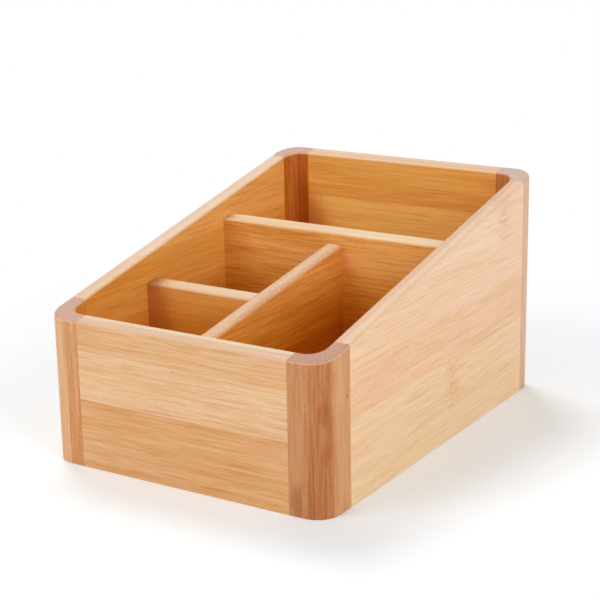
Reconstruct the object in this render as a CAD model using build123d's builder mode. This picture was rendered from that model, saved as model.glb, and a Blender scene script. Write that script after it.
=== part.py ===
"""Desk organizer of bamboo boards: an open box with a sloping rim and three dividers.

X runs from left to right, Y from front to back and Z up. The origin is on the table,
under the middle of the box.
"""
import os

from build123d import *

os.makedirs("parts", exist_ok=True)

# Overall size in millimetres
box_width = 175.0
box_depth = 242.5
front_height = 81.3
rear_height = 132.5

# Walls, their rounded corners and their sanded edges
wall_thickness = 9.5
outer_corner_radius = 13.5
inner_corner_radius = 9.0
rim_edge_radius = 1.5
bottom_edge_radius = 0.6

# Legs of the corner posts, measured from the outside of the box
post_leg_across = 22.0
front_post_leg_along = 23.5
rear_post_leg_along = 18.5

# Base board and the groove in the frame that holds it
base_thickness = 5.0
base_underside = 5.0
base_tongue = 4.0
groove_side_gap = 0.5
groove_top_gap = 0.2

# Dividers: the clear sizes of three compartments, and how far each top lies below the rim
divider_thickness = 9.5
divider_edge_radius = 2.0
long_divider_edge_radius = 3.0
rear_compartment_depth = 68.0
left_compartment_width = 73.25
front_compartment_depth = 68.5
cross_divider_drop = 11.0
short_divider_drop = 16.0
long_divider_front_drop = 9.2
long_divider_rear_drop = 16.5

# Blind dowels and their holes
dowel_diameter = 4.0
dowel_length = 16.0
dowel_end_chamfer = 0.5
dowel_hole_play = 0.1
dowel_hole_end_gap = 0.5
dowel_depth_in_face = 6.0
lowest_dowel_height = 26.0
highest_dowel_drop = 18.0
front_dowel_rows = 2
rear_dowel_rows = 3
divider_dowel_rows = 2

# Places of the walls
left_x = -box_width / 2
right_x = box_width / 2
front_y = -box_depth / 2
rear_y = box_depth / 2
inner_width = box_width - 2 * wall_thickness
inner_depth = box_depth - 2 * wall_thickness
inner_left_x = left_x + wall_thickness
inner_right_x = right_x - wall_thickness
inner_front_y = front_y + wall_thickness
inner_rear_y = rear_y - wall_thickness
blank_height = rear_height + wall_thickness

# Joints between the posts and the boards
front_joint_y = front_y + front_post_leg_along
rear_joint_y = rear_y - rear_post_leg_along
left_joint_x = left_x + post_leg_across
right_joint_x = right_x - post_leg_across

# Places of the dividers, which stand on the base board
base_top = base_underside + base_thickness
cross_rear_y = inner_rear_y - rear_compartment_depth
cross_front_y = cross_rear_y - divider_thickness
long_left_x = inner_left_x + left_compartment_width
long_right_x = long_left_x + divider_thickness
short_front_y = inner_front_y + front_compartment_depth
short_rear_y = short_front_y + divider_thickness


def rim_height(y):
    """Height of the sloping rim above the table, at depth y."""
    return front_height + (rear_height - front_height) * (y - front_y) / box_depth


def finish(piece, label):
    """Label a finished piece and write its file."""
    piece.label = label
    export_step(piece, f"parts/{label}.step")


def dowel_rows(top, rows):
    """Heights of the dowels in one joint, under a top edge."""
    highest = top - highest_dowel_drop
    step = (highest - lowest_dowel_height) / (rows - 1)
    return [lowest_dowel_height + step * row for row in range(rows)]


def joint_dowels():
    """Middle and direction of each dowel that joins a post to a board."""
    across, along = (1, 0, 0), (0, 1, 0)
    wall_middle = wall_thickness / 2
    rows_by_joint = [
        (front_y + wall_middle, rim_height(front_y), front_dowel_rows),
        (rear_y - wall_middle, rim_height(inner_rear_y), rear_dowel_rows),
    ]
    dowels = []
    for y, top, rows in rows_by_joint:
        for x in (left_joint_x, right_joint_x):
            dowels += [((x, y, z), across) for z in dowel_rows(top, rows)]
    for y, rows in ((front_joint_y, front_dowel_rows), (rear_joint_y, rear_dowel_rows)):
        for x in (left_x + wall_middle, right_x - wall_middle):
            dowels += [((x, y, z), along) for z in dowel_rows(rim_height(y), rows)]
    return dowels


def end_dowels(face_x, face_y, into_divider, top):
    """Middle and direction of each dowel that holds the end of a divider to the face it meets."""
    offset = dowel_length / 2 - dowel_depth_in_face
    x = face_x + offset * into_divider[0]
    y = face_y + offset * into_divider[1]
    return [((x, y, z), into_divider) for z in dowel_rows(top, divider_dowel_rows)]


def dowel_solids(places, diameter, length, end_chamfer=0.0):
    """One cylinder at each place, the dowels themselves or their holes."""
    with BuildPart() as pegs:
        for middle, direction in places:
            with Locations(Plane(origin=middle, z_dir=direction)):
                Cylinder(diameter / 2, length)
        if end_chamfer:
            chamfer(pegs.edges().filter_by(GeomType.CIRCLE), end_chamfer)
    return pegs.part


# Where the dowels go: the eight joints of the frame, then the six ends of the dividers
cross_middle_y = (cross_front_y + cross_rear_y) / 2
long_middle_x = (long_left_x + long_right_x) / 2
short_middle_y = (short_front_y + short_rear_y) / 2
cross_top = rim_height(cross_front_y) - cross_divider_drop
short_top = rim_height(short_front_y) - short_divider_drop
long_front_top = rim_height(inner_front_y) - long_divider_front_drop
long_rear_top = rim_height(cross_front_y) - long_divider_rear_drop

frame_dowel_places = joint_dowels()
divider_dowel_places = (
    end_dowels(inner_left_x, cross_middle_y, (1, 0, 0), cross_top)
    + end_dowels(inner_right_x, cross_middle_y, (-1, 0, 0), cross_top)
    + end_dowels(long_middle_x, inner_front_y, (0, 1, 0), long_front_top)
    + end_dowels(long_middle_x, cross_front_y, (0, -1, 0), long_rear_top)
    + end_dowels(inner_left_x, short_middle_y, (1, 0, 0), short_top)
    + end_dowels(long_left_x, short_middle_y, (-1, 0, 0), short_top)
)
hole_diameter = dowel_diameter + dowel_hole_play
hole_length = dowel_length + 2 * dowel_hole_end_gap
dowel_holes = dowel_solids(frame_dowel_places + divider_dowel_places, hole_diameter, hole_length)

# Frame blank: posts and walls glued up as one ring, with the rim sawn to its slope, the edges
# sanded, and the groove and the dowel holes cut. The eight pieces are taken from it below.
rim_plane = Plane(
    origin=(0, front_y, front_height),
    x_dir=(1, 0, 0),
    z_dir=(0, front_height - rear_height, box_depth),
)
with BuildPart() as frame_blank:
    with BuildSketch():
        RectangleRounded(box_width, box_depth, outer_corner_radius)
        RectangleRounded(inner_width, inner_depth, inner_corner_radius, mode=Mode.SUBTRACT)
    extrude(amount=blank_height)
    split(bisect_by=rim_plane, keep=Keep.BOTTOM)
    fillet(frame_blank.faces().sort_by(Axis.Z)[-1].edges(), rim_edge_radius)
    fillet(frame_blank.faces().sort_by(Axis.Z)[0].outer_wire().edges(), bottom_edge_radius)
    with BuildSketch(Plane.XY.offset(base_underside)):
        RectangleRounded(
            inner_width + 2 * (base_tongue + groove_side_gap),
            inner_depth + 2 * (base_tongue + groove_side_gap),
            inner_corner_radius + base_tongue + groove_side_gap,
        )
    extrude(amount=base_thickness + groove_top_gap, mode=Mode.SUBTRACT)
    add(dowel_holes, mode=Mode.SUBTRACT)


def frame_piece(label, middle_x, middle_y, size_x, size_y):
    """Take one post or board from the frame blank, between its joints."""
    with BuildPart() as piece:
        add(frame_blank.part)
        with BuildSketch():
            with Locations((middle_x, middle_y)):
                Rectangle(size_x, size_y)
        extrude(amount=blank_height, mode=Mode.INTERSECT)
    finish(piece.part, label)


# Corner posts, each as far as its two joints
frame_piece("front_left_post", left_x, front_y, 2 * post_leg_across, 2 * front_post_leg_along)
frame_piece("front_right_post", right_x, front_y, 2 * post_leg_across, 2 * front_post_leg_along)
frame_piece("rear_left_post", left_x, rear_y, 2 * post_leg_across, 2 * rear_post_leg_along)
frame_piece("rear_right_post", right_x, rear_y, 2 * post_leg_across, 2 * rear_post_leg_along)

# Boards between the posts
panel_width = right_joint_x - left_joint_x
panel_length = rear_joint_y - front_joint_y
side_middle_y = (front_joint_y + rear_joint_y) / 2
frame_piece("front_panel", 0, front_y, panel_width, 2 * front_post_leg_along)
frame_piece("back_panel", 0, rear_y, panel_width, 2 * rear_post_leg_along)
frame_piece("left_side_panel", left_x, side_middle_y, 2 * post_leg_across, panel_length)
frame_piece("right_side_panel", right_x, side_middle_y, 2 * post_leg_across, panel_length)

# Base board, lying in its groove
with BuildPart() as base_panel:
    with BuildSketch(Plane.XY.offset(base_underside)):
        RectangleRounded(
            inner_width + 2 * base_tongue,
            inner_depth + 2 * base_tongue,
            inner_corner_radius + base_tongue,
        )
    extrude(amount=base_thickness)
finish(base_panel.part, "base_panel")


def cross_board(label, start_x, end_x, board_front_y, board_rear_y, drop):
    """A divider that runs across the box, its top parallel to the sloping rim."""
    with BuildPart() as board:
        with BuildSketch(Plane.YZ.offset(start_x)):
            with BuildLine():
                Polyline(
                    (board_front_y, base_top),
                    (board_rear_y, base_top),
                    (board_rear_y, rim_height(board_rear_y) - drop),
                    (board_front_y, rim_height(board_front_y) - drop),
                    close=True,
                )
            make_face()
        extrude(amount=end_x - start_x)
        fillet(board.faces().sort_by(Axis.Z)[-1].edges(), divider_edge_radius)
        add(dowel_holes, mode=Mode.SUBTRACT)
    finish(board.part, label)


# Divider across the whole box, and the short one left of the lengthwise divider
cross_board(
    "cross_divider", inner_left_x, inner_right_x, cross_front_y, cross_rear_y, cross_divider_drop
)
cross_board(
    "short_divider", inner_left_x, long_left_x, short_front_y, short_rear_y, short_divider_drop
)

# Lengthwise divider from the front panel to the cross divider, its top rising to the rear
with BuildPart() as long_divider:
    with BuildSketch(Plane.YZ.offset(long_left_x)):
        with BuildLine():
            Polyline(
                (inner_front_y, base_top),
                (cross_front_y, base_top),
                (cross_front_y, long_rear_top),
                (inner_front_y, long_front_top),
                close=True,
            )
        make_face()
    extrude(amount=divider_thickness)
    fillet(long_divider.faces().sort_by(Axis.Z)[-1].edges(), long_divider_edge_radius)
    add(dowel_holes, mode=Mode.SUBTRACT)
finish(long_divider.part, "long_divider")

# Dowels, glued into their blind holes
finish(
    dowel_solids(frame_dowel_places, dowel_diameter, dowel_length, dowel_end_chamfer),
    "frame_dowels",
)
finish(
    dowel_solids(divider_dowel_places, dowel_diameter, dowel_length, dowel_end_chamfer),
    "divider_dowels",
)
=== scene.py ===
"""Studio scene of a bamboo makeup organizer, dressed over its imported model.

The box is glued up from flat-pressed bamboo boards between darker corner posts. Every piece
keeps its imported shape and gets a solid, procedural bamboo that follows its own fibres, so the
staves, the glue lines and the end grain meet on every face as they do in the real boards.
"""

import logging
import math
from dataclasses import dataclass
from enum import Enum
from typing import ClassVar

import bpy
from mathutils import Matrix, Vector


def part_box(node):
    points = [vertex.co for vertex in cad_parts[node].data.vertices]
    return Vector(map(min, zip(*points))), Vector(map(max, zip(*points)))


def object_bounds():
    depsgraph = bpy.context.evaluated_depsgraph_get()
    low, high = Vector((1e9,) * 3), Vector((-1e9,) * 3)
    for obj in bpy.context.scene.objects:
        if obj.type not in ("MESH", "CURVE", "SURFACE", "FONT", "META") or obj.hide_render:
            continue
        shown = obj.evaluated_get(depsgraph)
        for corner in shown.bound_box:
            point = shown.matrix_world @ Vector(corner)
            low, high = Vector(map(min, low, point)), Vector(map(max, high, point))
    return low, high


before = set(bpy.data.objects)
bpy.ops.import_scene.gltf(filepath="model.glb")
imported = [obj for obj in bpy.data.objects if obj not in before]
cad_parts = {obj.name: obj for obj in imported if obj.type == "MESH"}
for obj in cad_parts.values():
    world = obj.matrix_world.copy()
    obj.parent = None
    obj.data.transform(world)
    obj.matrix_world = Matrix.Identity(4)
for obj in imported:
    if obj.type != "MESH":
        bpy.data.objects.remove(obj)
cad_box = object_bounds()

log = logging.getLogger("organizer")

Colour = tuple[float, float, float]
Place = tuple[float, float, float]
Span = tuple[float, float]
Socket = bpy.types.NodeSocket
Value = Socket | float | tuple[float, ...]

MM = 0.001
NOISE_MIDDLE = 0.5
NUMBER = "NodeSocketFloat"
VECTOR = "NodeSocketVector"
BLACK: Colour = (0.0, 0.0, 0.0)
WHITE: Colour = (1.0, 1.0, 1.0)


class Grain(Enum):
    """Which axes run along the fibres, across the staves and through the board."""

    ACROSS_BOX = (0, 2, 1)
    ALONG_BOX = (1, 2, 0)
    UPRIGHT_STRIPS_BY_X = (2, 0, 1)
    UPRIGHT_STRIPS_BY_Y = (2, 1, 0)
    FLAT_ALONG_BOX = (1, 0, 2)


@dataclass(frozen=True)
class Pattern:
    """A noise pattern.

    Attributes:
        scale: Its scale along, across and through the wood.
        detail: How many finer layers it has.
        roughness: How strong the finer layers are.
    """

    scale: Place
    detail: float = 2.0
    roughness: float = 0.5


class Wiring:
    """Adds nodes to one node tree and links them."""

    # Places of the Mix node's sockets, whose names repeat
    number_inputs = (0, 2, 3)
    colour_inputs = (0, 6, 7)
    number_output = 0
    colour_output = 2

    def __init__(self, tree: bpy.types.NodeTree) -> None:
        """Start on a tree.

        Args:
            tree: The tree of a material, a world or a group.
        """
        self.tree = tree

    def node(self, kind: str, **settings: object) -> bpy.types.Node:
        """Add a node.

        Args:
            kind: The node's type name.
            settings: Attributes to set on it.

        Returns:
            The new node.
        """
        made = self.tree.nodes.new(kind)
        for name, value in settings.items():
            setattr(made, name, value)
        return made

    def feed(self, socket: Socket, value: Value) -> None:
        """Link a socket to another one, or set its own value.

        Args:
            socket: The input to feed.
            value: An output socket, or a plain value.
        """
        if isinstance(value, Socket):
            self.tree.links.new(value, socket)
        else:
            socket.default_value = value

    def feed_named(self, sockets: bpy.types.NodeInputs, values: dict[str, Value]) -> None:
        """Feed several sockets.

        Args:
            sockets: The sockets to feed.
            values: What goes into each, by its name with underscores for spaces.
        """
        for name, value in values.items():
            self.feed(sockets[name.replace("_", " ").title()], value)

    def math(self, operation: str, *values: Value, clamp: bool = False) -> Socket:
        """Do one step of arithmetic.

        Args:
            operation: The Math node's operation.
            values: Its inputs.
            clamp: Whether the result is kept between 0 and 1.

        Returns:
            The result's socket.
        """
        made = self.node("ShaderNodeMath", operation=operation, use_clamp=clamp)
        for socket, value in zip(made.inputs, values):
            self.feed(socket, value)
        return made.outputs[0]

    def vector(self, operation: str, *values: Value) -> Socket:
        """Do one step of vector arithmetic.

        Args:
            operation: The Vector Math node's operation.
            values: Its inputs.

        Returns:
            The result's socket, a number for a length or a dot product and else a vector.
        """
        made = self.node("ShaderNodeVectorMath", operation=operation)
        for socket, value in zip(made.inputs, values):
            self.feed(socket, value)
        return made.outputs["Value" if operation in ("DOT_PRODUCT", "LENGTH") else "Vector"]

    def split(self, vector: Socket) -> bpy.types.NodeOutputs:
        """Take a vector apart.

        Args:
            vector: The vector's socket.

        Returns:
            Its X, Y and Z.
        """
        made = self.node("ShaderNodeSeparateXYZ")
        self.feed(made.inputs[0], vector)
        return made.outputs

    def remap(self, value: Value, low: float, high: float, to_low: float = 0.0,
              to_high: float = 1.0) -> Socket:
        """Ease a value smoothly from one range into another.

        Args:
            value: The value to remap.
            low: Where the result starts to change.
            high: Where it stops.
            to_low: The result at low.
            to_high: The result at high.

        Returns:
            The result's socket.
        """
        made = self.node("ShaderNodeMapRange", interpolation_type="SMOOTHSTEP")
        self.feed_named(made.inputs, {"value": value, "from_min": low, "from_max": high,
                                      "to_min": to_low, "to_max": to_high})
        return made.outputs[0]

    def pick(self, mask: Value, first: Value, second: Value) -> Socket:
        """Take the first of two numbers, or the second where a mask is 1.

        Args:
            mask: The mask.
            first: The first number.
            second: The second number.

        Returns:
            The picked number's socket.
        """
        made = self.node("ShaderNodeMix", data_type="FLOAT")
        for index, value in zip(self.number_inputs, (mask, first, second)):
            self.feed(made.inputs[index], value)
        return made.outputs[self.number_output]

    def mix(self, share: Value, first: Socket | Colour, second: Socket | Colour,
            blend: str = "MIX") -> Socket:
        """Mix two colours.

        Args:
            share: How much of the second colour.
            first: The first colour.
            second: The second colour.
            blend: The way they are mixed.

        Returns:
            The mixed colour's socket.
        """
        made = self.node("ShaderNodeMix", data_type="RGBA", blend_type=blend)
        for index, value in zip(self.colour_inputs, (share, first, second)):
            self.feed(made.inputs[index], (*value, 1.0) if isinstance(value, tuple) else value)
        return made.outputs[self.colour_output]

    def noise(self, place: Socket, pattern: Pattern) -> Socket:
        """Add a noise pattern.

        Args:
            place: The place that it is looked up at.
            pattern: The pattern.

        Returns:
            The noise's socket, around NOISE_MIDDLE.
        """
        made = self.node("ShaderNodeTexNoise")
        stretched = self.vector("MULTIPLY", place, pattern.scale)
        self.feed_named(made.inputs, {"vector": stretched, "scale": 1.0, "detail": pattern.detail,
                                      "roughness": pattern.roughness})
        return made.outputs[0]

    def seen(self) -> Socket:
        """Find the rays on which a surface is seen, directly, in a reflection or through glass.

        Returns:
            A mask, 1 on those rays.
        """
        path = self.node("ShaderNodeLightPath")
        seen: Value = 0.0
        for ray in ("Is Camera Ray", "Is Glossy Ray", "Is Transmission Ray"):
            seen = self.math("MAXIMUM", seen, path.outputs[ray])
        return seen


class EffectGroup(Wiring):
    """A shader node group with named inputs and outputs, built once and used by many materials."""

    title: str = ""
    inputs: tuple[tuple[str, str], ...] = ()
    outputs: tuple[tuple[str, str], ...] = ()

    def __init__(self) -> None:
        """Make the group with its sockets and fill it."""
        super().__init__(bpy.data.node_groups.new(self.title, "ShaderNodeTree"))
        for side, sockets in (("INPUT", self.inputs), ("OUTPUT", self.outputs)):
            for name, kind in sockets:
                self.tree.interface.new_socket(name=name, in_out=side, socket_type=kind)
        self.given = self.node("NodeGroupInput").outputs
        self.results = self.node("NodeGroupOutput").inputs
        self.build()

    def build(self) -> None:
        """Fill the group with nodes."""
        raise NotImplementedError

    def put_out(self, **values: Value) -> None:
        """Feed the group's outputs.

        Args:
            values: What each one puts out, by its name with underscores for spaces.
        """
        self.feed_named(self.results, values)

    def use(self, wiring: Wiring, **values: Value) -> bpy.types.NodeOutputs:
        """Place the group in a material.

        Args:
            wiring: The material's wiring.
            values: The group's inputs, by name with underscores for spaces.

        Returns:
            The group's outputs.
        """
        made = wiring.node("ShaderNodeGroup", node_tree=self.tree)
        wiring.feed_named(made.inputs, values)
        return made.outputs


class GrainAxes(EffectGroup):
    """Turns the part's own axes into lengths along the fibres, across the staves and through."""

    title = "Grain axes"
    inputs = (("Along", VECTOR), ("Across", VECTOR), ("Through", VECTOR))
    outputs = (("Place", VECTOR), ("End Grain", NUMBER), ("Sanded Edge", NUMBER),
               ("Arris", NUMBER))

    facing_fibres: Span = (0.55, 0.8)
    facing_up: Span = (0.05, 0.5)
    nearly_flat: Span = (0.7, 0.96)

    def build(self) -> None:
        """Fill the group: the masks follow from which way the surface faces."""
        here = self.node("ShaderNodeTexCoord").outputs
        place = self.node("ShaderNodeCombineXYZ")
        for socket, (name, _) in zip(place.inputs, self.inputs):
            self.feed(socket, self.vector("DOT_PRODUCT", here["Object"], self.given[name]))
        facing = self.vector("DOT_PRODUCT", here["Normal"], self.given["Along"])
        upward = self.split(here["Normal"])["Z"]
        sanded = self.remap(upward, *self.facing_up)
        rounded = self.remap(upward, *self.nearly_flat, 1.0, 0.0)
        self.put_out(place=place.outputs[0], sanded_edge=sanded,
                     end_grain=self.remap(self.math("ABSOLUTE", facing), *self.facing_fibres),
                     # the rounded top edges, where the colour gets a painted highlight
                     arris=self.math("MULTIPLY", sanded, rounded))


class Fibres(EffectGroup):
    """Bamboo's fibre bundles: fine lines along the grain and dots where they are cut across."""

    title = "Bamboo fibres"
    inputs = (("Place", VECTOR), ("Stave", NUMBER), ("Bend", NUMBER))
    outputs = (("Broad", NUMBER), ("Fine", NUMBER), ("Lines", NUMBER), ("Flecks", NUMBER),
               ("Pores", NUMBER), ("Relief", NUMBER), ("Hue", NUMBER))

    stave_shift: Place = (7.31, 3.77, 5.13)
    wander = Pattern((12.0, 30.0, 30.0))
    wander_width = 0.7 * MM
    clouds = Pattern((10.0, 80.0, 80.0), detail=1.0)
    streaks = Pattern((9.0, 260.0, 260.0), roughness=0.6)
    lines = Pattern((28.0, 800.0, 800.0), detail=2.5, roughness=0.8)
    flecks = Pattern((35.0, 1000.0, 1000.0), detail=0.0)
    pores = Pattern((1100.0, 1100.0, 1100.0), detail=1.0)
    hues = Pattern((14.0, 330.0, 330.0), detail=1.0, roughness=0.6)
    cloud_weight = 0.20
    streak_weight = 0.32
    line_weight = 0.40
    pore_weight = 0.14
    hue_weight = 0.36
    hue_middle = 0.5
    tone_span: Span = (0.32, 0.68)
    line_span: Span = (0.36, 0.66)
    fleck_span: Span = (0.62, 0.76)
    pore_span: Span = (0.38, 0.62)
    hue_span: Span = (0.3, 0.7)
    line_relief = 0.6
    streak_relief = 0.4

    def build(self) -> None:
        """Fill the group: each stave looks the same patterns up at a place of its own."""
        shift = self.vector("MULTIPLY", self.stave_shift, self.given["Stave"])
        own = self.vector("ADD", self.given["Place"], shift)
        sway = self.math("MULTIPLY_ADD", self.noise(own, self.wander), 2.0 * self.wander_width,
                         -self.wander_width)
        sway = self.math("ADD", sway, self.given["Bend"])
        aside = self.node("ShaderNodeCombineXYZ")
        for axis in ("Y", "Z"):
            self.feed(aside.inputs[axis], sway)
        bent = self.vector("ADD", own, aside.outputs[0])
        clouds, streaks, lines, flecks, hues = (
            self.noise(bent, pattern)
            for pattern in (self.clouds, self.streaks, self.lines, self.flecks, self.hues))
        pores = self.noise(own, self.pores)
        self.put_out(broad=self.tones((clouds, self.cloud_weight), (streaks, self.streak_weight)),
                     fine=self.tones((lines, self.line_weight), (pores, self.pore_weight)),
                     lines=self.remap(lines, *self.line_span),
                     flecks=self.remap(flecks, *self.fleck_span),
                     pores=self.remap(pores, *self.pore_span),
                     relief=self.math("MULTIPLY_ADD", lines, self.line_relief,
                                      self.math("MULTIPLY", streaks, self.streak_relief)),
                     hue=self.remap(hues, *self.hue_span, self.hue_middle - self.hue_weight / 2,
                                    self.hue_middle + self.hue_weight / 2))

    def tones(self, *layers: tuple[Socket, float]) -> Socket:
        """Add up two patterns as differences in tone.

        Args:
            layers: Each pattern's noise and its weight.

        Returns:
            Their sum, around 0.
        """
        return self.math("ADD", *(self.remap(noise, *self.tone_span, -weight / 2, weight / 2)
                                  for noise, weight in layers))


class Knuckle(EffectGroup):
    """One of the culm's rings, as it shows on a single stave."""

    title = "Bamboo knuckle"
    inputs = (("Place", VECTOR), ("Centre Along", NUMBER), ("Centre Across", NUMBER),
              ("Half Stave", NUMBER))
    outputs = (("Patch", NUMBER), ("Marks", NUMBER), ("Bend", NUMBER))

    half_length = 14.0 * MM
    bend = 0.6 * MM
    drift = Pattern((60.0, 260.0, 260.0))
    drift_width = 4.0 * MM
    dabs = Pattern((420.0, 380.0, 380.0), detail=1.0, roughness=0.6)
    dab_span: Span = (0.4, 0.75)

    def build(self) -> None:
        """Fill the group: a ragged band with short dabs, which bends the fibres."""
        along, across, _ = self.split(self.given["Place"])
        drift = self.math("MULTIPLY_ADD", self.noise(self.given["Place"], self.drift),
                          2.0 * self.drift_width, -self.drift_width)
        along = self.math("ADD", self.math("SUBTRACT", along, self.given["Centre Along"]), drift)
        near = self.remap(self.math("ABSOLUTE", along), 0.0, self.half_length, 1.0, 0.0)
        across = self.math("SUBTRACT", across, self.given["Centre Across"])
        inside = self.math("LESS_THAN", self.math("ABSOLUTE", across), self.given["Half Stave"])
        patch = self.math("MULTIPLY", near, inside)
        dabs = self.remap(self.noise(self.given["Place"], self.dabs), *self.dab_span)
        self.put_out(patch=patch, marks=self.math("MULTIPLY", patch, dabs),
                     bend=self.math("MULTIPLY", patch, self.bend))


class GlueLine(EffectGroup):
    """A thin seam where two lengths of stock meet, at one place along an axis."""

    title = "Glue line"
    inputs = (("Value", NUMBER), ("Seam", NUMBER), ("Half Width", NUMBER))
    outputs = (("Seam", NUMBER),)

    def build(self) -> None:
        """Fill the group: the mask falls evenly to either side of the seam."""
        away = self.math("SUBTRACT", self.given["Value"], self.given["Seam"])
        share = self.math("DIVIDE", self.math("ABSOLUTE", away), self.given["Half Width"],
                          clamp=True)
        self.put_out(seam=self.math("SUBTRACT", 1.0, share))


class InsideFaces(EffectGroup):
    """Finds the upright faces inside the frame, tinted partly as painted shade, and their low
    part, in painted shade.
    """

    title = "Inside faces"
    inputs = (("Half Width", NUMBER), ("Half Depth", NUMBER))
    outputs = (("Inside", NUMBER), ("Low", NUMBER))

    margin = 1.0 * MM
    upright: Span = (0.05, 0.65)
    # Heights over which the painted shade deepens toward the bottom of the compartments
    low: Span = (50 * MM, 92 * MM)

    def build(self) -> None:
        """Fill the group: both masks follow from the place and from which way it faces."""
        here = self.node("ShaderNodeTexCoord").outputs
        place = self.split(here["Object"])
        tilt = self.math("ABSOLUTE", self.split(here["Normal"])["Z"])
        inside = self.remap(tilt, *self.upright, 1.0, 0.0)
        for axis, half in (("X", "Half Width"), ("Y", "Half Depth")):
            limit = self.math("ADD", self.given[half], self.margin)
            within = self.math("LESS_THAN", self.math("ABSOLUTE", place[axis]), limit)
            inside = self.math("MULTIPLY", inside, within)
        low = self.remap(place["Z"], *self.low, 1.0, 0.0)
        self.put_out(inside=inside, low=self.math("MULTIPLY", inside, low))


class Stain(EffectGroup):
    """A soft patch drawn out along the fibres, for stain in the culm's wall and for painted shade
    and light.
    """

    title = "Bamboo stain and painted light"
    inputs = (("Centre", VECTOR), ("Half Width", NUMBER), ("Half Height", NUMBER),
              ("Ragged", NUMBER))
    outputs = (("Stain", NUMBER),)

    edge = Pattern((420.0, 420.0, 90.0))
    full_within = 0.35

    def build(self) -> None:
        """Fill the group: a soft ball, stretched to the patch's size and frayed at its edge."""
        here = self.node("ShaderNodeTexCoord").outputs["Object"]
        size = self.node("ShaderNodeCombineXYZ")
        for socket, name in zip(size.inputs, ("Half Width", "Half Width", "Half Height")):
            self.feed(socket, self.given[name])
        away = self.vector("SUBTRACT", here, self.given["Centre"])
        reach = self.vector("LENGTH", self.vector("DIVIDE", away, size.outputs[0]))
        frayed = self.math("SUBTRACT", self.noise(here, self.edge), NOISE_MIDDLE)
        reach = self.math("MULTIPLY_ADD", frayed, self.given["Ragged"], reach)
        self.put_out(stain=self.remap(reach, self.full_within, 1.0, 1.0, 0.0))


@dataclass(frozen=True)
class Effects:
    """The shader node groups that every bamboo finish shares."""

    axes: GrainAxes
    fibres: Fibres
    knuckle: Knuckle
    glue_line: GlueLine
    inside: InsideFaces
    stain: Stain


@dataclass(frozen=True)
class Stave:
    """One stave of a ply.

    Attributes:
        start: Where it starts across the staves, in millimetres.
        tone: How pale it is, from 0 to 1.
        warmth: How golden it is, or how rosy where it is negative.
    """

    start: float
    tone: float
    warmth: float = 0.0


@dataclass(frozen=True)
class Ring:
    """Where a knuckle of the culm shows on a board, in millimetres.

    Attributes:
        along: Its place along the fibres.
        across: The middle of its stave.
        half_stave: Half the width of its stave.
    """

    along: float
    across: float
    half_stave: float


@dataclass(frozen=True)
class Patch:
    """A soft spot used for a darker stain in the wood, for painted shade and, with a negative
    depth, for painted light.

    Attributes:
        centre: Its middle, in millimetres.
        half_width: Half its size across the box and along it, in millimetres.
        half_height: Half its height, in millimetres.
        strength: How brown it turns the wood.
        depth: How far it takes the ground to its deeper tones.
        ragged: How frayed its edge is.
        first_ply: Whether it stays in the first ply.
    """

    centre: Place
    half_width: float
    half_height: float
    strength: float = 0.0
    depth: float = 0.0
    ragged: float = 1.1
    first_ply: bool = False


@dataclass(frozen=True)
class BambooFinish:
    """Lacquered laminated bamboo, laid up from staves in one or two plies.

    Attributes:
        name: The material's name.
        grain: How the fibres run in the box.
        first: The staves of the first ply through the board, in order.
        second: The staves of the second ply; none where the stock is one ply.
        ply_seam: Where the plies meet, through the board.
        ends: Where the piece meets its neighbours, along its fibres or across its strips.
        ends_across: Whether the ends lie across the strips rather than along the fibres.
        pale: The palest ground colour.
        deep: The darkest ground colour.
        rings: Knuckles that show on the board.
        seed: Sets the pattern apart from those of the other boards.
        contrast: How strongly the clouds and streaks show.
        crisp: How strongly the fine lines show.
        fleck: How strongly the dark dashes show.
        cut: The colour that end grain takes.
        seam_depth: How dark the seams between staves are.
        stain_and_painted_light_patches: Darker stain spots, and spots of painted shade and painted
            light.
        sanded: The colour that sanded top edges take.
        sanded_second: The same for the second ply, where it differs.
        grit: How strongly the pores show on sanded top edges.
        inside_tint_and_shade: How the faces inside the box are tinted, partly as the wood's own
            deeper orange and partly as painted shade.
    """

    name: str
    grain: Grain
    first: tuple[Stave, ...]
    second: tuple[Stave, ...] = ()
    ply_seam: float = 0.0
    ends: tuple[float, ...] = ()
    ends_across: bool = False
    pale: Colour = (0.87, 0.61, 0.40)
    deep: Colour = (0.70, 0.36, 0.14)
    rings: tuple[Ring, ...] = ()
    seed: float = 0.0
    contrast: float = 1.0
    crisp: float = 1.0
    fleck: float = 0.12
    cut: Colour = (0.52, 0.33, 0.24)
    seam_depth: float = 0.25
    stain_and_painted_light_patches: tuple[Patch, ...] = ()
    sanded: Colour = (0.74, 0.52, 0.36)
    sanded_second: Colour | None = None
    grit: float = 0.06
    inside_tint_and_shade: Colour = (1.10, 0.82, 0.32)


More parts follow.
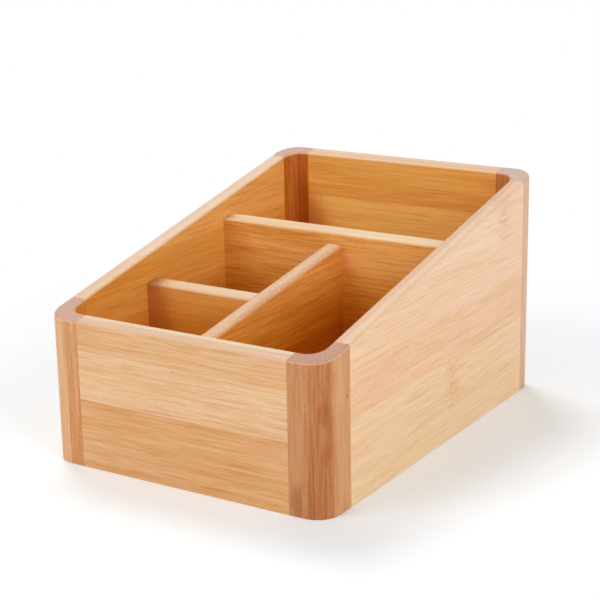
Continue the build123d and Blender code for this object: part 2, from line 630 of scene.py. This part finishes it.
class BambooMaterial(Wiring):
    """The material of one bamboo finish.

    Attributes:
        material: The material itself.
        finish: The finish that it shows.
        effects: The shared node groups.
        axes: What the group of grain axes puts out.
        along: The place along the fibres.
        across: The place across the staves.
        through: The place through the board.
        in_second: A mask of the second ply.
    """

    inner_half_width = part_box("cross_divider")[1].x
    inner_half_depth = -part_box("long_divider")[0].y
    stave_seam = 0.22 * MM
    joint_seam = 0.3 * MM
    ply_shade = 0.25
    joint_shade = 0.3
    mark_shade = 0.34
    ring_depth = 0.12
    brown: Colour = (0.79, 0.61, 0.55)
    # painted shade, darker toward the bottom of the compartments
    painted_low_shade: Colour = (0.80, 0.64, 0.18)
    rosy: Colour = (1.02, 0.985, 1.10)
    golden: Colour = (0.985, 1.0, 0.87)
    # painted highlight on the rounded top edges
    arris: Colour = (1.14, 1.13, 1.11)
    sanded_share = 0.5
    cut_share = 0.8
    roughness = 0.40
    cut_roughness = 0.15
    line_roughness = 0.07
    specular = 0.42
    refraction = 1.5
    relief_strength = 0.35
    relief_height = 0.05 * MM

    def __init__(self, finish: BambooFinish, effects: Effects) -> None:
        """Start the material with its grain axes.

        Args:
            finish: The finish that it shows.
            effects: The shared node groups.
        """
        self.material = bpy.data.materials.new(finish.name)
        self.material.use_nodes = True
        super().__init__(self.material.node_tree)
        self.tree.nodes.clear()
        self.finish = finish
        self.effects = effects
        along, across, through = (tuple(float(i == axis) for i in range(3))
                                  for axis in finish.grain.value)
        self.axes = effects.axes.use(self, along=along, across=across, through=through)
        self.along, self.across, self.through = self.split(self.axes["Place"])
        self.in_second: Value = 0.0
        if finish.second:
            self.in_second = self.math("GREATER_THAN", self.through, finish.ply_seam)

    def build(self) -> bpy.types.Material:
        """Wire the wood's colour, its gloss and its relief.

        Returns:
            The finished material.
        """
        tone, warmth, seams = self.lay_up()
        bend, rings, marks = self.knuckles()
        stave = self.math("ADD", tone, self.finish.seed)
        fibres = self.effects.fibres.use(self, place=self.axes["Place"], stave=stave, bend=bend)
        # stain spots, with painted shade and painted light in some of them
        brown, depth = self.stains_and_painted_light()
        level = self.math("MULTIPLY_ADD", fibres["Broad"], self.finish.contrast, tone)
        level = self.math("MULTIPLY_ADD", fibres["Fine"], self.finish.crisp, level)
        level = self.math("SUBTRACT", level, depth)
        level = self.math("MULTIPLY_ADD", rings, -self.ring_depth, level, clamp=True)
        ground = self.mix(level, self.finish.deep, self.finish.pale)
        ends = self.seams(self.across if self.finish.ends_across else self.along,
                          self.finish.ends, self.joint_seam)
        shade = self.math("MULTIPLY", fibres["Flecks"], self.finish.fleck)
        for mask, strength in ((marks, self.mark_shade), (seams, self.finish.seam_depth),
                               (ends, self.joint_shade)):
            shade = self.math("MULTIPLY_ADD", mask, strength, shade, clamp=True)
        colour = self.tint(ground, shade, brown)
        pores = self.math("MULTIPLY", fibres["Pores"], self.axes["Sanded Edge"])
        colour = self.mix(self.math("MULTIPLY", pores, self.finish.grit), colour, BLACK)
        hue = self.math("ADD", fibres["Hue"], warmth, clamp=True)
        colour = self.mix(1.0, colour, self.mix(hue, self.rosy, self.golden), "MULTIPLY")
        self.lacquer(colour, fibres)
        return self.material

    def lay_up(self) -> tuple[Value, Value, Value]:
        """Look up the stave that a point is in, in either ply.

        Returns:
            The stave's tone, its warmth, and a mask of the seams round it.
        """
        first = self.ply(self.finish.first)
        if not self.finish.second:
            return first
        tone, warmth, seams = (self.pick(self.in_second, *both)
                               for both in zip(first, self.ply(self.finish.second)))
        plies = self.seams(self.through, (self.finish.ply_seam,), self.joint_seam)
        plies = self.math("MULTIPLY", plies, self.ply_shade)
        return tone, warmth, self.math("MAXIMUM", seams, plies)

    def ply(self, staves: tuple[Stave, ...]) -> tuple[Value, Value, Value]:
        """Look up one ply at a point.

        Args:
            staves: The ply's staves, in order.

        Returns:
            The stave's tone, its warmth, and a mask of the seams between the staves.
        """
        starts = tuple(stave.start * MM for stave in staves[1:])
        tone = self.step(starts, [stave.tone for stave in staves])
        warmths = [stave.warmth for stave in staves]
        warmth = self.step(starts, warmths) if any(warmths) else 0.0
        return tone, warmth, self.seams(self.across, starts, self.stave_seam)

    def step(self, starts: tuple[float, ...], values: list[float]) -> Value:
        """Look up the value of the stave that a point is in.

        Args:
            starts: Where the staves after the first one start, in order.
            values: Each stave's value.

        Returns:
            The value.
        """
        value: Value = values[0]
        for start, own in zip(starts, values[1:]):
            value = self.pick(self.math("GREATER_THAN", self.across, start), value, own)
        return value

    def seams(self, value: Socket, places: tuple[float, ...], half_width: float) -> Value:
        """Add up the thin seams at several places along one axis.

        Args:
            value: The length along that axis.
            places: Where the seams are.
            half_width: How wide each one is to either side.

        Returns:
            A mask, or 0 where there are no seams.
        """
        total: Value = 0.0
        for place in places:
            line = self.effects.glue_line.use(self, value=value, seam=place, half_width=half_width)
            total = self.math("MAXIMUM", total, line["Seam"])
        return total

    def knuckles(self) -> tuple[Value, Value, Value]:
        """Add up the knuckles that show on the board.

        Returns:
            How far they bend the fibres, a mask of their bands and one of their dabs.
        """
        bend: Value = 0.0
        rings: Value = 0.0
        marks: Value = 0.0
        for ring in self.finish.rings:
            shown = self.effects.knuckle.use(
                self, place=self.axes["Place"], centre_along=ring.along * MM,
                centre_across=ring.across * MM, half_stave=ring.half_stave * MM)
            bend = self.math("ADD", bend, shown["Bend"])
            rings = self.math("MAXIMUM", rings, shown["Patch"])
            marks = self.math("MAXIMUM", marks, shown["Marks"])
        return bend, rings, marks

    def stains_and_painted_light(self) -> tuple[Value, Value]:
        """Add up the darker stain spots and the spots of painted shade and painted light.

        Returns:
            How brown they turn the wood, and how much deeper they make its ground.
        """
        brown: Value = 0.0
        depth: Value = 0.0
        for patch in self.finish.stain_and_painted_light_patches:
            share = self.effects.stain.use(
                self, centre=tuple(length * MM for length in patch.centre), ragged=patch.ragged,
                half_width=patch.half_width * MM, half_height=patch.half_height * MM)["Stain"]
            if patch.first_ply:
                share = self.math("MULTIPLY", share, self.math("SUBTRACT", 1.0, self.in_second))
            brown = self.math("MULTIPLY_ADD", share, patch.strength, brown)
            depth = self.math("MULTIPLY_ADD", share, patch.depth, depth)
        return brown, depth

    def tint(self, ground: Socket, shade: Value, brown: Value) -> Socket:
        """Tint the ground where it is marked, inside the box, sanded, stained or cut across, with
        painted shade and a painted highlight.

        Args:
            ground: The ground colour.
            shade: How strongly dashes, dabs and seams darken it.
            brown: How strongly stain spots and painted shade darken it.

        Returns:
            The tinted colour's socket.
        """
        darker = tuple(part * kept for part, kept in zip(self.finish.deep, self.brown))
        colour = self.mix(shade, ground, darker)
        inside = self.effects.inside.use(self, half_width=self.inner_half_width,
                                         half_depth=self.inner_half_depth)
        # the faces inside the box get a deeper orange tint, partly the wood's own colour and
        # partly painted shade
        colour = self.mix(inside["Inside"], colour, self.finish.inside_tint_and_shade, "MULTIPLY")
        # painted shade: darker toward the bottom of the compartments
        colour = self.mix(inside["Low"], colour, self.painted_low_shade, "MULTIPLY")
        bared = self.mix(self.in_second, self.finish.sanded,
                         self.finish.sanded_second or self.finish.sanded)
        edge = self.math("MULTIPLY", self.axes["Sanded Edge"], self.sanded_share)
        colour = self.mix(edge, colour, bared)
        # painted highlight: the rounded top edges are lightened
        colour = self.mix(self.axes["Arris"], colour, self.arris, "MULTIPLY")
        # stain spots and painted shade turn the wood browner where they lie
        colour = self.mix(brown, colour, darker)
        cut = self.math("MULTIPLY", self.axes["End Grain"], self.cut_share)
        return self.mix(cut, colour, self.finish.cut)

    def lacquer(self, colour: Socket, fibres: bpy.types.NodeOutputs) -> None:
        """Give the wood its satin surface.

        Args:
            colour: The wood's colour.
            fibres: What the group of fibres puts out.
        """
        surface = self.node("ShaderNodeBsdfPrincipled")
        rough = self.math("MULTIPLY_ADD", self.axes["End Grain"], self.cut_roughness,
                          self.roughness)
        rough = self.math("MULTIPLY_ADD", fibres["Lines"], self.line_roughness, rough)
        bump = self.node("ShaderNodeBump")
        self.feed_named(bump.inputs, {"strength": self.relief_strength, "height": fibres["Relief"],
                                      "distance": self.relief_height})
        self.feed_named(surface.inputs, {"base_color": colour, "roughness": rough,
                                         "normal": bump.outputs[0]})
        surface.inputs["Specular IOR Level"].default_value = self.specular
        surface.inputs["IOR"].default_value = self.refraction
        out = self.node("ShaderNodeOutputMaterial")
        self.feed(out.inputs["Surface"], surface.outputs[0])


@dataclass
class SubAssembly:
    """Pieces that go together.

    Attributes:
        effects: The shared node groups of their finishes.
    """

    effects: Effects

    def dress(self, finish: BambooFinish, *nodes: str) -> None:
        """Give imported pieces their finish, whatever slots they came with.

        Args:
            finish: The finish.
            nodes: The pieces' names.
        """
        material = BambooMaterial(finish, self.effects).build()
        for node in nodes:
            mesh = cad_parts[node].data
            mesh.materials.clear()
            mesh.materials.append(material)
            log.info("%s is dressed in %s, with %d faces", node, material.name, len(mesh.polygons))


@dataclass
class Walls(SubAssembly):
    """The four boards of the wall and the four corner posts between them.

    Attributes:
        half_width: Half the box's width.
        half_depth: Half the box's depth.
        wall: Thickness of the boards.
        joint_x: Where the posts meet the front and back boards, each side of the middle.
        front_joint_y: Where the front posts meet the side boards.
        rear_joint_y: Where the rear posts meet the side boards.
    """

    half_width: float = cad_box[1].x
    half_depth: float = cad_box[1].y
    wall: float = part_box("front_panel")[1].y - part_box("front_panel")[0].y
    joint_x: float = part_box("front_panel")[1].x
    front_joint_y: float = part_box("right_side_panel")[0].y
    rear_joint_y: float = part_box("right_side_panel")[1].y

    def dress_boards(self) -> None:
        """Dress the front, back, left and right boards."""
        half = self.wall / 2
        across_ends = (-self.joint_x, self.joint_x)
        along_ends = (self.front_joint_y, self.rear_joint_y)
        self.dress(BambooFinish(
            "front board bamboo", Grain.ACROSS_BOX,
            first=(Stave(0.0, 0.43), Stave(11.0, 0.31), Stave(38.3, 0.72), Stave(65.9, 0.52)),
            second=(Stave(0.0, 0.5), Stave(22.0, 0.6), Stave(49.0, 0.9)),
            pale=(0.90, 0.60, 0.345), deep=(0.71, 0.31, 0.075), sanded=(0.57, 0.40, 0.30),
            sanded_second=(0.63, 0.57, 0.39), ply_seam=5.4 * MM - self.half_depth,
            ends=across_ends, seed=1.0, seam_depth=0.4, contrast=0.66, crisp=1.02, fleck=0.3,
            stain_and_painted_light_patches=(Patch((-3.2, -121.25, 63.8), 0.9, 0.6, strength=1.0, ragged=0.2),)),
            "front_panel")
        self.dress(BambooFinish(
            "back board bamboo", Grain.ACROSS_BOX,
            first=(Stave(0.0, 0.44), Stave(22.0, 0.52), Stave(48.0, 0.52), Stave(75.0, 0.86),
                   Stave(104.5, 0.34)),
            second=(Stave(0.0, 0.4, 0.2), Stave(25.0, 0.6), Stave(52.0, 0.36, -0.2),
                   Stave(78.0, 0.72), Stave(105.0, 0.52, 0.1)),
            pale=(0.91, 0.655, 0.40), deep=(0.73, 0.34, 0.09), sanded=(0.69, 0.49, 0.36),
            sanded_second=(0.70, 0.57, 0.45), ply_seam=self.half_depth - half,
            ends=across_ends, seed=2.0, contrast=0.7, crisp=0.85, fleck=0.3,
            inside_tint_and_shade=(1.10, 0.92, 0.40),
            # painted shade in the inside corner beside the rear left post, low down on the inside
            # face
            stain_and_painted_light_patches=(Patch((-72.0, 108.0, 62.0), 32.0, 56.0, strength=0.8, depth=1.2, ragged=0.1,
                           first_ply=True),)),
            "back_panel")
        self.dress(BambooFinish(
            "left board bamboo", Grain.ALONG_BOX,
            first=(Stave(0.0, 0.7, 0.2), Stave(15.0, 0.5), Stave(42.0, 0.75, -0.2),
                   Stave(69.0, 0.45), Stave(96.0, 0.7)),
            second=(Stave(0.0, 0.44), Stave(22.0, 0.52), Stave(48.0, 0.64),
                   Stave(77.0, 0.46, 0.4), Stave(97.5, 0.85)),
            pale=(0.90, 0.62, 0.385), deep=(0.74, 0.34, 0.08), sanded=(0.67, 0.50, 0.42),
            sanded_second=(0.71, 0.55, 0.40), ply_seam=half - self.half_width,
            ends=along_ends, seed=3.0, contrast=0.82, crisp=1.1, fleck=0.3,
            inside_tint_and_shade=(1.055, 0.826, 0.367)),
            "left_side_panel")
        self.dress(BambooFinish(
            "right board bamboo", Grain.ALONG_BOX,
            first=(Stave(0.0, 0.45), Stave(30.0, 0.5), Stave(58.0, 0.4)),
            second=(Stave(0.0, 0.86, 0.4), Stave(18.2, 0.74, 0.15), Stave(46.5, 0.54, -0.25),
                   Stave(72.3, 0.76, -0.1), Stave(100.0, 0.88, -0.2)),
            pale=(0.94, 0.665, 0.445), deep=(0.80, 0.40, 0.115), sanded=(0.57, 0.35, 0.26),
            sanded_second=(0.62, 0.43, 0.25), ply_seam=self.half_width - half,
            ends=along_ends, seed=4.0, contrast=0.48, fleck=0.22, inside_tint_and_shade=(1.0, 0.83, 0.42),
            rings=(Ring(13.0, 32.3, 14.0), Ring(77.0, 114.0, 14.0))),
            "right_side_panel")

    def dress_posts(self) -> None:
        """Dress the four corner posts."""
        self.dress(BambooFinish(
            "front left post bamboo", Grain.UPRIGHT_STRIPS_BY_X,
            first=(Stave(-87.5, 0.86), Stave(-73.8, 0.44)),
            pale=(0.88, 0.51, 0.25), deep=(0.53, 0.15, 0.01), seed=11.0,
            ends=(-self.joint_x,), ends_across=True, cut=(0.583, 0.346, 0.254), grit=0.16,
            contrast=0.8, crisp=0.9, inside_tint_and_shade=(0.93, 0.68, 0.27)),
            "front_left_post")
        self.dress(BambooFinish(
            "front right post bamboo", Grain.UPRIGHT_STRIPS_BY_Y,
            first=(Stave(-121.25, 0.5), Stave(-113.0, 0.57), Stave(-103.5, 0.58)),
            pale=(0.80, 0.44, 0.19), deep=(0.41, 0.10, 0.01), seed=12.0, contrast=0.5,
            crisp=0.6, ends=(self.front_joint_y,), ends_across=True, cut=(0.50, 0.254, 0.171),
            grit=0.16, seam_depth=0.1, stain_and_painted_light_patches=(
                Patch((82.3, -118.4, 40.0), 10.5, 400.0, depth=0.24, ragged=0.7),
                Patch((83.7, -117.1, 55.5), 3.6, 8.0, strength=0.2, depth=0.1),
                Patch((70.4, -121.25, 8.0), 4.5, 13.0, strength=0.36, depth=0.1, ragged=0.9),
                Patch((84.5, -116.2, 34.5), 3.0, 9.0, strength=0.15, depth=0.1),
                Patch((87.5, -100.6, 60.6), 0.8, 1.8, strength=0.9, ragged=0.3))),
            "front_right_post")
        self.dress(BambooFinish(
            "rear left post bamboo", Grain.UPRIGHT_STRIPS_BY_X,
            first=(Stave(-87.5, 0.5), Stave(-72.7, 0.05), Stave(-71.3, 0.35),
                   Stave(-69.6, 0.14)),
            pale=(0.80, 0.46, 0.24), deep=(0.50, 0.18, 0.05), seed=13.0, contrast=0.9,
            ends=(-self.joint_x,), ends_across=True, cut=(0.61, 0.373, 0.281), grit=0.16,
            seam_depth=0.8, inside_tint_and_shade=(0.88, 0.52, 0.075),
            # painted shade on the post's inside corner next to the back board
            stain_and_painted_light_patches=(Patch((-68.0, 104.2, 75.0), 18.0, 47.0, depth=0.3, ragged=0.3),)),
            "rear_left_post")
        self.dress(BambooFinish(
            "rear right post bamboo", Grain.UPRIGHT_STRIPS_BY_X,
            first=(Stave(0.0, 0.1), Stave(75.0, 0.84)),
            pale=(0.775, 0.485, 0.31), deep=(0.50, 0.21, 0.075), seed=14.0,
            ends=(self.joint_x,), ends_across=True, cut=(0.61, 0.448, 0.389), grit=0.16,
            contrast=0.8, inside_tint_and_shade=(1.06, 0.90, 0.45)),
            "rear_right_post")


def middle(node: str) -> Vector:
    """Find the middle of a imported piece.

    Args:
        node: The piece's name.

    Returns:
        Its middle.
    """
    return sum(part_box(node), Vector()) / 2


@dataclass
class Insides(SubAssembly):
    """The dividers, the base board and the hidden dowels.

    Attributes:
        cross_middle: Middle of the cross divider's thickness.
        short_middle: Middle of the short divider's thickness.
        long_middle: Middle of the lengthwise divider's thickness.
    """

    cross_middle: float = middle("cross_divider").y
    short_middle: float = middle("short_divider").y
    long_middle: float = middle("long_divider").x

    def dress_dividers(self) -> None:
        """Dress the three dividers."""
        self.dress(BambooFinish(
            "cross divider bamboo", Grain.ACROSS_BOX,
            first=(Stave(0.0, 0.45), Stave(33.0, 0.55), Stave(61.0, 0.64, 0.4),
                   Stave(79.0, 0.78), Stave(92.0, 0.62)),
            second=(Stave(0.0, 0.5), Stave(40.0, 0.6), Stave(67.0, 0.5)),
            ply_seam=self.cross_middle, pale=(0.885, 0.635, 0.46), deep=(0.67, 0.31, 0.055),
            # painted light high up on the right half, and painted shade lower down
            stain_and_painted_light_patches=(Patch((42.0, 34.0, 94.0), 45.0, 16.0, depth=-0.25, ragged=0.6),
                     Patch((42.0, 34.0, 66.0), 45.0, 13.0, depth=0.1, ragged=0.6)),
            seed=5.0, contrast=1.2, crisp=1.8, fleck=0.4,
            sanded=(0.77, 0.59, 0.32), sanded_second=(0.85, 0.665, 0.385)),
            "cross_divider")
        self.dress(BambooFinish(
            "short divider bamboo", Grain.ACROSS_BOX,
            first=(Stave(0.0, 0.35), Stave(27.0, 0.5), Stave(54.0, 0.62)),
            second=(Stave(0.0, 0.5), Stave(35.0, 0.4), Stave(62.0, 0.5)),
            ply_seam=self.short_middle, seed=6.0, contrast=1.3, fleck=0.3,
            sanded=(0.68, 0.48, 0.30), sanded_second=(0.77, 0.56, 0.36), stain_and_painted_light_patches=(
                # painted shade near the left wall, on the front face and on the top
                Patch((-80.0, -43.3, 60.0), 24.0, 90.0, strength=0.35, depth=0.6, ragged=0.5),
                Patch((-80.0, -38.5, 80.0), 16.0, 9.0, strength=0.4, ragged=0.5))),
            "short_divider")
        self.dress(BambooFinish(
            "long divider bamboo", Grain.ALONG_BOX,
            first=(Stave(0.0, 0.4), Stave(30.0, 0.52), Stave(57.0, 0.45)),
            second=(Stave(0.0, 0.12), Stave(24.0, 0.09, 0.3), Stave(51.0, 0.38, 0.3),
                   Stave(77.0, 0.48)),
            deep=(0.58, 0.28, 0.08), ply_seam=self.long_middle, seed=7.0, contrast=1.1,
            crisp=1.2, fleck=0.3, sanded=(0.83, 0.525, 0.325), grit=0.2),
            "long_divider")

    def dress_base(self) -> None:
        """Dress the base board."""
        self.dress(BambooFinish(
            "base board bamboo", Grain.FLAT_ALONG_BOX,
            first=(Stave(-82.0, 0.4), Stave(-55.0, 0.5), Stave(-28.0, 0.38), Stave(-1.0, 0.55),
                   Stave(26.0, 0.42), Stave(53.0, 0.5)),
            pale=(0.94, 0.61, 0.24), deep=(0.78, 0.42, 0.11), sanded=(0.96, 0.60, 0.18),
            seed=8.0),
            "base_panel")

    def dress_dowels(self) -> None:
        """Dress the hidden dowels."""
        self.dress(BambooFinish(
            "dowel wood", Grain.ACROSS_BOX, first=(Stave(0.0, 0.6),), seed=9.0, fleck=0.2,
            pale=(0.80, 0.62, 0.42), deep=(0.62, 0.42, 0.25)),
            "frame_dowels", "divider_dowels")


def direction(azimuth: float, height: float) -> Vector:
    """Turn two angles into a direction away from the box.

    Args:
        azimuth: Degrees round the box, 0 at the front and 90 on the right.
        height: Degrees above the table.

    Returns:
        The direction, of length 1.
    """
    turn, rise = math.radians(azimuth), math.radians(height)
    return Vector((math.sin(turn) * math.cos(rise), -math.cos(turn) * math.cos(rise),
                   math.sin(rise)))


@dataclass(frozen=True)
class SoftLamp:
    """A square studio lamp with a diffuser.

    Attributes:
        name: The lamp's name.
        azimuth: Degrees round the box, 0 at the front and 90 on the right.
        height: Degrees above the table.
        size: The diffuser's side.
        power: In watts.
        distance: How far it is from the box.
    """

    name: str
    azimuth: float
    height: float
    size: float
    power: float
    distance: float = 2.2

    def hang(self, target: Vector) -> None:
        """Put the lamp in the scene, turned to the box.

        Args:
            target: The point it is aimed at.
        """
        data = bpy.data.lights.new(self.name, "AREA")
        data.shape = "SQUARE"
        data.size = self.size
        data.energy = self.power
        lamp = bpy.data.objects.new(self.name, data)
        bpy.context.scene.collection.objects.link(lamp)
        away = direction(self.azimuth, self.height)
        lamp.location = target + away * self.distance
        lamp.rotation_mode = "QUATERNION"
        lamp.rotation_quaternion = away.to_track_quat("Z", "Y")


@dataclass(frozen=True)
class Studio:
    """The pale floor, the soft light and the camera.

    Attributes:
        azimuth: The camera's degrees round the box, 0 at the front.
        elevation: Its degrees above the table's plane.
        roll: Its turn about its own axis, in degrees.
        place: Where it stands.
        lens: Its focal length in millimetres.
        sensor: Its sensor's side in millimetres.
        sight: The nearest and the farthest that it sees.
        floor_size: Side of the floor.
        shadow_reach: How far from the box the floor is plain paper.
        white_from: From where the floor is seen as pure white.
        paper: The floor's colour.
        paper_roughness: Its roughness.
        paper_specular: How strongly it reflects.
        lift: How much brighter the plain paper is where it is seen.
        ambient: Strength of the light from all around.
        target: The point that the lamps are aimed at.
        lamps: The lamps.
    """

    azimuth: float = 32.353
    elevation: float = 16.281
    roll: float = -1.063
    place: Place = (0.46818, -0.74328, 0.32801)
    lens: float = 96.87
    sensor: float = 36.0
    sight: Span = (0.01, 100.0)
    floor_size: float = 16.0
    shadow_reach: float = 0.16
    white_from: float = 0.42
    paper: Colour = (0.895, 0.93, 0.955)
    paper_roughness: float = 0.9
    paper_specular: float = 0.1
    lift: float = 0.12
    ambient: float = 0.40
    target: Place = (0.0, 0.0, 0.06)

    lamps: ClassVar[tuple[SoftLamp, ...]] = (
        SoftLamp("right lamp", azimuth=70.0, height=25.0, size=1.1, power=18.4),
        SoftLamp("front lamp", azimuth=-30.0, height=35.0, size=1.1, power=13.2),
        SoftLamp("rear lamp", azimuth=-130.0, height=58.0, size=0.8, power=17.0),
    )

    def build_camera(self) -> None:
        """Put the camera where the photograph was taken."""
        back = direction(self.azimuth, self.elevation)
        level = direction(self.azimuth + 90.0, 0.0)
        upright = back.cross(level)
        roll = math.radians(self.roll)
        right = math.cos(roll) * level + math.sin(roll) * upright
        up = math.cos(roll) * upright - math.sin(roll) * level
        data = bpy.data.cameras.new("camera")
        data.lens = self.lens
        data.sensor_width = self.sensor
        data.clip_start, data.clip_end = self.sight
        camera = bpy.data.objects.new("camera", data)
        bpy.context.scene.collection.objects.link(camera)
        turned = Matrix((right, up, back)).transposed().to_4x4()
        camera.matrix_world = Matrix.Translation(self.place) @ turned
        bpy.context.scene.camera = camera

    def build_floor(self) -> None:
        """Lay the pale floor that the box stands on."""
        half = self.floor_size / 2
        mesh = bpy.data.meshes.new("floor")
        mesh.from_pydata([(-half, -half, 0), (half, -half, 0), (half, half, 0),
                          (-half, half, 0)], [], [(0, 1, 2, 3)])
        mesh.materials.append(self.paper_material())
        floor = bpy.data.objects.new("floor", mesh)
        bpy.context.scene.collection.objects.link(floor)

    def paper_material(self) -> bpy.types.Material:
        """Make the floor's paper, which is seen as pure white beyond the box's shadow.

        Returns:
            The finished material.
        """
        paper = bpy.data.materials.new("white paper")
        paper.use_nodes = True
        wiring = Wiring(paper.node_tree)
        surface = paper.node_tree.nodes["Principled BSDF"]
        seen = wiring.seen()
        wiring.feed_named(surface.inputs, {
            "base_color": (*self.paper, 1.0), "roughness": self.paper_roughness,
            "emission_color": (*WHITE, 1.0),
            "emission_strength": wiring.math("MULTIPLY", seen, self.lift)})
        surface.inputs["Specular IOR Level"].default_value = self.paper_specular
        here = wiring.node("ShaderNodeTexCoord")
        away = wiring.vector("LENGTH", here.outputs["Object"])
        far = wiring.remap(away, self.shadow_reach, self.white_from)
        glow = wiring.node("ShaderNodeEmission")
        blend = wiring.node("ShaderNodeMixShader")
        for socket, value in zip(blend.inputs, (wiring.math("MULTIPLY", far, seen),
                                                surface.outputs[0], glow.outputs[0])):
            wiring.feed(socket, value)
        wiring.feed(paper.node_tree.nodes["Material Output"].inputs["Surface"], blend.outputs[0])
        return paper

    def build_light(self) -> None:
        """Hang the lamps and set the light from all around."""
        for lamp in self.lamps:
            lamp.hang(Vector(self.target))
        world = bpy.data.worlds.new("studio")
        world.use_nodes = True
        bpy.context.scene.world = world
        world.node_tree.nodes.clear()
        wiring = Wiring(world.node_tree)
        sky = wiring.node("ShaderNodeBackground")
        wiring.feed_named(sky.inputs, {
            "color": (*WHITE, 1.0), "strength": wiring.pick(wiring.seen(), self.ambient, 1.0)})
        out = wiring.node("ShaderNodeOutputWorld")
        wiring.feed(out.inputs["Surface"], sky.outputs[0])


def main() -> None:
    """Dress the box, build the studio round it and report each piece."""
    logging.basicConfig(level=logging.INFO, format="%(name)s: %(message)s")
    effects = Effects(GrainAxes(), Fibres(), Knuckle(), GlueLine(), InsideFaces(), Stain())
    walls = Walls(effects)
    walls.dress_boards()
    walls.dress_posts()
    insides = Insides(effects)
    insides.dress_dividers()
    insides.dress_base()
    insides.dress_dowels()
    studio = Studio()
    studio.build_floor()
    studio.build_light()
    studio.build_camera()
    bpy.context.scene.view_settings.view_transform = "Standard"


if __name__ == "__main__":
    main()
